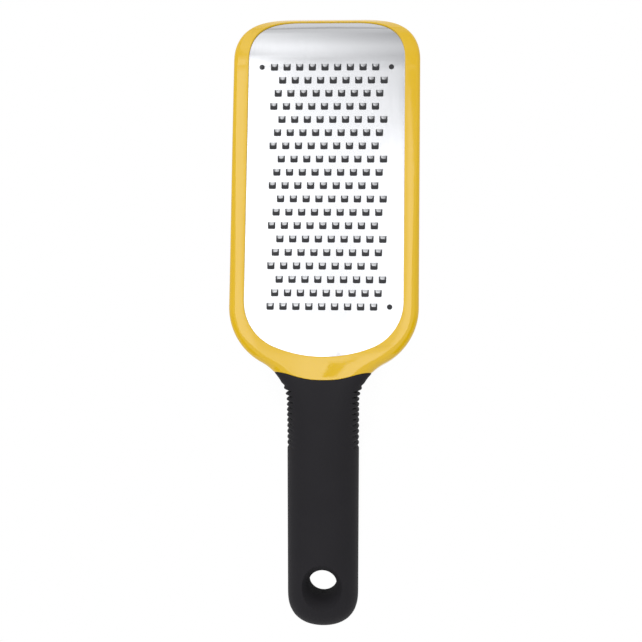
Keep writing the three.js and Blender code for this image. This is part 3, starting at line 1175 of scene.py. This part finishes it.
@dataclass
class Grip:
    """The soft grip: an oval handle with flexible fins at its sides and a funnelled hang hole."""

    skin: Skin = Skin()
    finish: SoftRubber = SoftRubber("grain_moulded_black_rubber", "#262528", 0.6)
    gap: float = 0.05
    fin_count: int = 11
    fin_start: float = -11.6
    fin_pitch: float = 2.35
    fin_depth: float = 1.9
    fin_depth_end: float = 0.9
    fin_lead: float = 0.6
    fin_reach: float = 3.4
    fin_full_reach: float = 0.85
    fin_steps: int = 10
    collar_steps: int = 4
    shank_steps: int = 18
    butt_steps: int = 26
    butt_angle: float = 86.5
    hole_setback: float = 18.48
    hole_diameter: float = 11.1
    hole_rim: float = 20.0
    hole_flare: float = 2.9
    hole_steps: int = 14
    hole_segments: int = 64
    hole_overcut: tuple[float, float] = (4.0, 6.0)
    crease: float = 40.0

    @property
    def fin_pitches(self) -> float:
        """Length of the finned stretch in pitches; it ends on a fin's crest."""
        return self.fin_count + 0.5

    def fin_inset(self, s: float) -> float:
        """Gives the depth of the valleys between round-nosed fins at s.

        Args:
            s: place along the tool.

        Returns:
            The depth in millimetres.
        """
        along = (self.fin_start - s) / self.fin_pitch
        if not 0 <= along <= self.fin_pitches:
            return 0.0
        depth = lerp(self.fin_depth, self.fin_depth_end, along / self.fin_count)
        return depth * smooth(along, -self.fin_lead, 1.0) * (1 - abs(math.sin(math.pi * along)))

    def finned(self, ring: list[Vector]) -> list[Vector]:
        """Draws a ring's sides in where it crosses the fins' valleys.

        Args:
            ring: a ring of the skin.

        Returns:
            The ring with its valleys.
        """
        points = []
        for point in ring:
            half = self.skin.half_width(point.y)
            reach = smooth(abs(point.x), half - self.fin_reach, half - self.fin_full_reach)
            inset = self.fin_inset(point.y) * reach
            points.append(Vector((point.x - math.copysign(inset, point.x), point.y, point.z)))
        return points

    def sections(self) -> list[list[Vector]]:
        """Gives the skin's rings from the butt to the collar's rounded edge.

        Returns:
            The rings, in order.
        """
        skin = self.skin
        butt_start = skin.butt_end + skin.butt_round
        front = -skin.collar_setback - self.gap
        round_start = front - skin.collar_rounds[-1][0]
        fin_end = self.fin_start - self.fin_pitches * self.fin_pitch
        stations = [
            butt_start - skin.butt_round * math.sin(angle)
            for angle in evenly(math.radians(self.butt_angle), 0.0, self.butt_steps)
        ]
        stations += evenly(butt_start, fin_end, self.shank_steps)[1:]
        stations += evenly(fin_end, self.fin_start, round(self.fin_pitches * self.fin_steps))[1:]
        rings = [self.finned(skin.ring(s)) for s in stations]
        for s in evenly(self.fin_start, round_start, self.collar_steps)[1:]:
            share = (s - self.fin_start) / (round_start - self.fin_start)
            rings.append(skin.ring(s, share))
        for back, inset in reversed(skin.collar_rounds[:-1]):
            rings.append(skin.ring(front - back, 1.0, inset))
        return rings

    def hole(self) -> bpy.types.Object:
        """Makes the cutter of the hang hole: a smooth waist that flares to both faces.

        Returns:
            A closed body.
        """
        waist, rim = self.hole_diameter / 2, self.hole_rim / 2
        middle = self.skin.grip_crown - self.skin.grip_thickness / 2
        face = self.skin.grip_thickness / 2
        rise, spread = self.hole_overcut
        shares = evenly(0.0, 1.0, self.hole_steps)
        levels = [(face * share, waist + (rim - waist) * share**self.hole_flare) for share in shares]
        levels.append((face + rise, rim + spread))
        profile = [(-h, r) for h, r in reversed(levels[1:])] + levels
        centre = self.skin.butt_end + self.hole_setback
        turns = [2 * math.pi * step / self.hole_segments for step in range(self.hole_segments)]
        rings = [
            [Vector((r * math.cos(t), centre + r * math.sin(t), middle + h)) for t in turns]
            for h, r in profile
        ]
        return loft("hang_hole", rings)

    def build(self) -> bpy.types.Object:
        """Builds the grip and lays it in its place.

        Returns:
            The finished piece.
        """
        piece = loft("soft_grip", self.sections())
        combine(piece, self.hole(), Join.CUT)
        merge_close(piece)
        self.skin.spine.settle(piece)
        smooth_faces(piece, self.crease)
        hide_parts("grip")
        dress(piece, self.finish)
        return piece


@dataclass
class HiddenPieces:
    """The CAD pieces that keep their own shape: the handle's core and the tip foot.

    The core is polypropylene as it leaves a grained mould, a little shinier than rubber and without sheen.
    """

    # Both finishes also carry the rubber's painted shade in their hollows.
    core: SoftRubber = SoftRubber(
        "grain_moulded_black_polypropylene", "#262628", 0.45, worn_colour="#2C2C2E", sheen=0.0
    )
    foot: SoftRubber = SoftRubber(
        "grain_moulded_foot_rubber", "#333336", 0.7, worn_colour="#3C3C3F", grain_mm=0.7
    )

    def dress(self, nodes: dict[str, bpy.types.Object]) -> None:
        """Gives the kept CAD nodes their finishes."""
        paint(nodes["handle_core"], self.core)
        paint(nodes["tip_foot"], self.foot)


# Studio


def even(brightness: float) -> Ramp:
    """Gives a ramp that stays at one brightness."""
    return (0.0, brightness), (1.0, brightness)


def at_height(height: float, *corners: tuple[float, float]) -> tuple[Place, ...]:
    """Gives the corners of a level card from their places across and along the tool."""
    return tuple((x, y, height) for x, y in corners)


def oblong(left: float, right: float, near: float, far: float, height: float) -> tuple[Place, ...]:
    """Gives the corners of a level card with square corners."""
    return at_height(height, (left, near), (right, near), (left, far), (right, far))


@dataclass(frozen=True)
class Card:
    """A card in the studio that only reflections meet, as a photographer's white cards and black flags are.

    Its corners are near left, near right, far left and far right, in metres. Its brightness is a ramp from
    left to right times a ramp from near to far. Its left and right ends may bow away along the tool.
    """

    name: str
    corners: tuple[Place, ...]
    across: Ramp = even(1.0)
    along: Ramp = even(1.0)
    bow: float = 0.0
    steps: int = 12

    def shade(self, tree: bpy.types.NodeTree, place: bpy.types.NodeSocket, ramp: Ramp) -> bpy.types.Node:
        """Turns a place from 0 to 1 into brightness by a ramp of places and values.

        Args:
            tree: the node tree.
            place: the place.
            ramp: places, and the brightness at each.

        Returns:
            The node that gives the brightness.
        """
        curve = add_node(tree, "ShaderNodeFloatCurve", {"Value": place})
        points = curve.mapping.curves[0].points
        top = max(value for _, value in ramp)
        for index, (at, value) in enumerate(ramp):
            point = points[index] if index < 2 else points.new(at, value / top)
            point.location = (at, value / top)
        for point in points:
            point.handle_type = "VECTOR"
        curve.mapping.update()
        return add_node(tree, "ShaderNodeMath", {0: curve, 1: top}, operation="MULTIPLY")

    def build(self) -> None:
        """Makes the card."""
        grid = {"x_subdivisions": self.steps, "y_subdivisions": 1, "size": 2.0}
        card = add_primitive(self.name, bpy.ops.mesh.primitive_grid_add, **grid)
        near_left, near_right, far_left, far_right = (Vector(corner) for corner in self.corners)
        for vert in card.data.vertices:
            right, far = (vert.co.x + 1) / 2, (vert.co.y + 1) / 2
            place = near_left.lerp(near_right, right).lerp(far_left.lerp(far_right, right), far)
            vert.co = place + Vector((0.0, self.bow * (2 * right - 1) ** 2, 0.0))
        material, tree = blank_material(self.name)
        surface = add_node(tree, "ShaderNodeTexCoord").outputs["UV"]
        parts = add_node(tree, "ShaderNodeSeparateXYZ", {"Vector": surface}).outputs
        across = self.shade(tree, parts["X"], self.across)
        along = self.shade(tree, parts["Y"], self.along)
        both = add_node(tree, "ShaderNodeMath", {0: across, 1: along}, operation="MULTIPLY")
        glow = add_node(tree, "ShaderNodeEmission", {"Strength": both})
        add_node(tree, "ShaderNodeOutputMaterial", {"Surface": glow})
        card.data.materials.append(material)
        card.visible_camera = card.visible_diffuse = card.visible_shadow = card.visible_transmission = False


@dataclass(frozen=True)
class Lamp:
    """A soft box that nothing mirrors: its middle, what it looks at, its size and its radiance."""

    name: str
    place: Place
    aim: Place
    size: tuple[float, float]
    radiance: float

    def build(self) -> None:
        """Makes the lamp."""
        lamp = add_primitive(self.name, bpy.ops.object.light_add, type="AREA", location=self.place)
        lamp.data.shape = "RECTANGLE"
        lamp.data.size, lamp.data.size_y = self.size
        lamp.data.energy = self.radiance * LAMP_POWER * self.size[0] * self.size[1]
        lamp.rotation_euler = (Vector(self.aim) - Vector(self.place)).to_track_quat("-Z", "Y").to_euler()
        lamp.visible_glossy = False


@dataclass
class Studio:
    """A white table under soft boxes and cards, and the camera above it."""

    fill: float = 0.7
    floor_size: float = 6.0
    floor_drop: float = 0.0002
    floor_colour: str = "#F4F4F4"
    # Painted shade under the head: its colour, the middle and half size of its oval, how square it is, and
    # its soft edge.
    painted_shade_colour: str = "#424244"
    painted_shade_middle: Place = (0.0, 0.055, 0.0)
    painted_shade_half: Place = (0.038, 0.071, 1.0)
    painted_shade_power: float = 4.0
    painted_shade_edge: tuple[float, float] = (1.02, 0.88)
    # Painted shadow where the tool comes close to the table, and the patch under the hang hole where the eye
    # doesn't see it.
    painted_contact_reach: float = 0.05
    painted_contact_span: tuple[float, float] = (0.45, 0.1)
    painted_contact_samples: int = 8
    hole_light: Place = (-0.0006, -0.1107, 0.0)
    hole_edge: tuple[float, float] = (0.009, 0.013)
    camera_place: Place = (0.0237, -0.00697, 0.48931)
    camera_turn: Place = (0.741, 3.054, 0.514)
    camera_clip: tuple[float, float] = (0.01, 20.0)
    lens: float = 64.486
    sensor: float = 36.0
    lamps: tuple[Lamp, ...] = (
        Lamp("key_box", (-0.16, 0.28, 0.93), (-0.16, 0.28, 0.0), (0.44, 0.46), 0.7),
        Lamp("top_box", (-0.5, 0.5, 1.9), (0.0, 0.0, 0.0), (1.8, 1.8), 0.95),
    )
    cards: tuple[Card, ...] = (
        # The flat steel mirrors the first card, and the frame's bands the two beside it.
        Card(
            "key_card",
            at_height(CEILING, (-0.132, 0.0), (0.044, 0.0), (-0.14, 0.72), (0.044, 0.72)),
            along=(
                *((0.0, 1.57), (0.3, 1.6), (0.45, 1.72), (0.52, 1.73)),
                *((0.6, 1.6), (0.694, 1.38), (0.8, 1.1), (1.0, 1.06)),
            ),
        ),
        Card(
            "left_band_card",
            at_height(CEILING, (-0.42, 0.0), (-0.132, 0.0), (-0.42, 0.55), (-0.139, 0.9)),
            along=((0.0, 3.1), (0.6, 3.1), (1.0, 1.2)),
        ),
        Card(
            "right_band_card",
            at_height(CEILING, (0.044, 0.0), (0.13, 0.0), (0.044, 0.5), (0.046, 0.5)),
            even(3.2),
        ),
        # What slopes towards the handle, such as the neck, mirrors this one.
        Card("tip_card", oblong(-0.16, 0.06, -0.95, -0.15, CEILING), even(1.95)),
        # The light patch on the heel, and the darker facet in it.
        Card(
            "neck_card",
            oblong(-0.06, 0.03, -0.03, 0.0125, NECK_CEILING + 0.002),
            ((0.0, 2.4), (0.4, 2.4), (0.5, 3.0), (1.0, 3.1)),
        ),
        Card(
            "neck_flag",
            at_height(
                NECK_CEILING, (-0.0063, -0.0082), (-0.0002, -0.0078), (-0.0028, 0.0091), (0.0058, 0.0093)
            ),
            ((0.0, 0.5), (1.0, 0.7)),
        ),
        Card(
            "neck_tail",
            at_height(
                NECK_CEILING + 0.0001, (0.0035, 0.007), (0.009, 0.0096), (0.0035, 0.0094), (0.013, 0.0121)
            ),
            even(0.85),
        ),
        # The right band dims towards the tip, where it mirrors this flag.
        Card(
            "top_flag",
            at_height(CEILING, (0.046, 0.5), (0.13, 0.0), (0.046, 0.72), (0.25, 0.72)),
            even(0.66),
        ),
        # Only the teeth mirror this leaning card: the steel round them looks along it.
        Card(
            "tooth_card",
            (
                *at_height(0.0368, (-0.033, 0.1113), (0.033, 0.1113)),
                *at_height(0.1392, (-0.07, 0.1569), (0.05, 0.1569)),
            ),
            ((0.0, 1.0), (0.5, 1.0), (1.0, 0.85)),
            ((0.0, 1.0), (0.28, 1.3), (0.56, 1.75), (1.0, 1.8)),
        ),
        # The rolled nose mirrors the back, then the table beyond the tip, and last a dark line on it.
        Card(
            "back_card",
            (*at_height(0.0, (-0.8, 1.2), (0.8, 1.2)), *at_height(2.2, (-1.2, 1.2), (1.2, 1.2))),
            ((0.0, 0.65), (0.372, 0.67), (0.39, 1.38), (0.415, 1.28), (0.46, 1.0), (0.54, 0.57), (1.0, 0.52)),
            ((0.0, 1.02), (0.095, 1.07), (0.19, 1.2), (0.327, 1.41), (0.45, 1.38), (0.68, 1.2), (1.0, 1.06)),
        ),
        Card(
            "line_card",
            oblong(-0.09, 0.09, 0.15, 0.168, 0.0004),
            along=((0.0, 0.8), (0.4, 0.48), (0.6, 0.48), (1.0, 0.8)),
            bow=0.12,
        ),
        Card(
            "far_card",
            oblong(-0.5, 0.5, 0.2, 1.19, 0.0002),
            ((0.0, 1.1), (0.43, 1.05), (0.55, 0.8), (1.0, 0.7)),
        ),
        # Flags beside the tool darken the outer edges of the bands and of the grip.
        Card(
            "left_flag",
            (*at_height(0.0, (-0.55, -0.55), (-0.55, 0.65)), *at_height(0.5, (-0.55, -0.55), (-0.55, 0.65))),
            ((0.0, 0.25), (0.42, 0.25), (0.5, 0.65), (1.0, 0.65)),
        ),
        Card("left_floor_flag", oblong(-0.55, -0.06, -0.08, 0.14, 0.0003), even(0.65)),
        Card(
            "right_flag",
            (*at_height(0.0, (0.55, -0.55), (0.55, 0.65)), *at_height(0.5, (0.55, -0.55), (0.55, 0.65))),
            ((0.0, 0.1), (0.42, 0.1), (0.5, 0.65), (1.0, 0.65)),
        ),
        Card("right_floor_flag", oblong(0.06, 0.55, -0.08, 0.14, 0.0003), even(0.65)),
    )

    def seen(self, tree: bpy.types.NodeTree, rays: bpy.types.Node) -> bpy.types.NodeSocket:
        """Gives 1 for rays from the camera, from glossy surfaces and through clear ones.

        Args:
            tree: the node tree.
            rays: the node that tells the kinds of rays apart.

        Returns:
            The output that is 1 for such a ray.
        """
        total: bpy.types.NodeSocket = rays.outputs["Is Camera Ray"]
        for kind in ("Is Glossy Ray", "Is Transmission Ray"):
            both = add_node(tree, "ShaderNodeMath", {0: total, 1: rays.outputs[kind]}, operation="MAXIMUM")
            total = both.outputs["Value"]
        return total

    def world(self) -> None:
        """Lights the scene evenly; what sees the world itself, or mirrors it, sees white."""
        world = bpy.data.worlds.new("white_studio")
        world.use_nodes = True
        bpy.context.scene.world = world
        tree = world.node_tree
        tree.nodes.clear()
        rays = add_node(tree, "ShaderNodeLightPath")
        fill = add_node(tree, "ShaderNodeBackground", {"Color": WHITE, "Strength": self.fill})
        white = add_node(tree, "ShaderNodeBackground", {"Color": WHITE, "Strength": 1.0})
        mixed = add_node(tree, "ShaderNodeMixShader", {0: self.seen(tree, rays), 1: fill, 2: white})
        add_node(tree, "ShaderNodeOutputWorld", {"Surface": mixed})

    def painted_head_shade(self, tree: bpy.types.NodeTree, place: bpy.types.NodeSocket) -> bpy.types.Node:
        """Gives the soft oval of painted shade under the head, which the plate's openings show dark.

        Args:
            tree: the node tree.
            place: the table's Object coordinates.

        Returns:
            The node that gives the shade, from 0 to 1.
        """
        apart = add_node(tree, "ShaderNodeVectorMath", {0: place, 1: self.painted_shade_middle}, operation="SUBTRACT")
        shares = add_node(tree, "ShaderNodeVectorMath", {0: apart, 1: self.painted_shade_half}, operation="DIVIDE")
        parts = add_node(tree, "ShaderNodeSeparateXYZ", {"Vector": shares}).outputs
        powers = []
        for axis in ("X", "Y"):
            size = add_node(tree, "ShaderNodeMath", {0: parts[axis]}, operation="ABSOLUTE")
            powers.append(add_node(tree, "ShaderNodeMath", {0: size, 1: self.painted_shade_power}, operation="POWER"))
        total = add_node(tree, "ShaderNodeMath", {0: powers[0], 1: powers[1]}, operation="ADD")
        outward = add_node(tree, "ShaderNodeMath", {0: total, 1: 1 / self.painted_shade_power}, operation="POWER")
        outer, inner = self.painted_shade_edge
        levels = {"Value": outward, "From Min": outer, "From Max": inner}
        return add_node(tree, "ShaderNodeMapRange", levels, interpolation_type="SMOOTHSTEP")

    def painted_contact_shadow(
        self, tree: bpy.types.NodeTree, rays: bpy.types.Node, place: bpy.types.NodeSocket
    ) -> bpy.types.Node:
        """Gives the painted shadow where the tool comes close to the table.

        Args:
            tree: the node tree.
            rays: the node that tells the kinds of rays apart.
            place: the table's Object coordinates.

        Returns:
            The painted shadow, left out where the eye looks through the hang hole but kept in reflections.
        """
        reach = {"Distance": self.painted_contact_reach}
        openness = add_node(tree, "ShaderNodeAmbientOcclusion", reach, samples=self.painted_contact_samples)
        opened, closed = self.painted_contact_span
        levels = {"Value": openness.outputs["AO"], "From Min": opened, "From Max": closed}
        contact = add_node(tree, "ShaderNodeMapRange", levels, interpolation_type="SMOOTHSTEP")
        apart = add_node(tree, "ShaderNodeVectorMath", {0: place, 1: self.hole_light}, operation="DISTANCE")
        inner, outer = self.hole_edge
        levels = {"Value": apart.outputs["Value"], "From Min": inner, "From Max": outer}
        beside = add_node(tree, "ShaderNodeMapRange", levels)
        mirrored = {0: beside, 1: rays.outputs["Is Glossy Ray"]}
        dimmed = add_node(tree, "ShaderNodeMath", mirrored, operation="MAXIMUM")
        return add_node(tree, "ShaderNodeMath", {0: contact, 1: dimmed}, operation="MULTIPLY")

    def floor(self) -> None:
        """Makes the table: white to the eye, with painted shade under the head and a painted shadow where the
        tool comes close to it.
        """
        plane = {"size": self.floor_size, "location": (0.0, 0.0, -self.floor_drop)}
        floor = add_primitive("floor", bpy.ops.mesh.primitive_plane_add, **plane)
        bpy.ops.object.transform_apply(location=True, rotation=True, scale=True)
        material, tree = blank_material("white_table")
        rays = add_node(tree, "ShaderNodeLightPath")
        place = add_node(tree, "ShaderNodeTexCoord").outputs["Object"]
        # Painted shade and shadow darken only the white that the eye and reflections see; the lit table stays
        # even.
        shades = {0: self.painted_contact_shadow(tree, rays, place), 1: self.painted_head_shade(tree, place)}
        shade = add_node(tree, "ShaderNodeMath", shades, operation="MAXIMUM")
        colours = {"Factor": shade, 6: WHITE, 7: linear(self.painted_shade_colour)}
        colour = add_node(tree, "ShaderNodeMix", colours, data_type="RGBA")
        glow = add_node(tree, "ShaderNodeEmission", {"Color": colour.outputs[2], "Strength": 1.0})
        lit = add_node(tree, "ShaderNodeBsdfDiffuse", {"Color": linear(self.floor_colour)})
        mixed = add_node(tree, "ShaderNodeMixShader", {0: self.seen(tree, rays), 1: lit, 2: glow})
        add_node(tree, "ShaderNodeOutputMaterial", {"Surface": mixed})
        floor.data.materials.append(material)

    def camera(self) -> None:
        """Sets the camera where the photograph was taken."""
        data = bpy.data.cameras.new("camera")
        data.lens = self.lens
        data.sensor_width = self.sensor
        data.clip_start, data.clip_end = self.camera_clip
        camera = bpy.data.objects.new("camera", data)
        camera.location = self.camera_place
        camera.rotation_euler = Euler([math.radians(angle) for angle in self.camera_turn])
        bpy.context.scene.collection.objects.link(camera)
        bpy.context.scene.camera = camera

    def build(self) -> None:
        """Makes the whole studio."""
        self.camera()
        self.world()
        self.floor()
        for lamp in self.lamps:
            lamp.build()
        for card in self.cards:
            card.build()
        bpy.context.scene.view_settings.view_transform = "Standard"
        LOG.info("studio: %d lamps, %d cards", len(self.lamps), len(self.cards))


def main() -> None:
    """Builds the studio and dresses the grater."""
    logging.basicConfig(level=logging.INFO, format="%(message)s")
    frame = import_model()
    Studio().build()
    HeadFrame().build()
    GratingPlate().build()
    Grip().build()
    HiddenPieces().dress(frame["nodes"])
    bpy.ops.object.select_all(action="DESELECT")


if __name__ == "__main__":
    main()
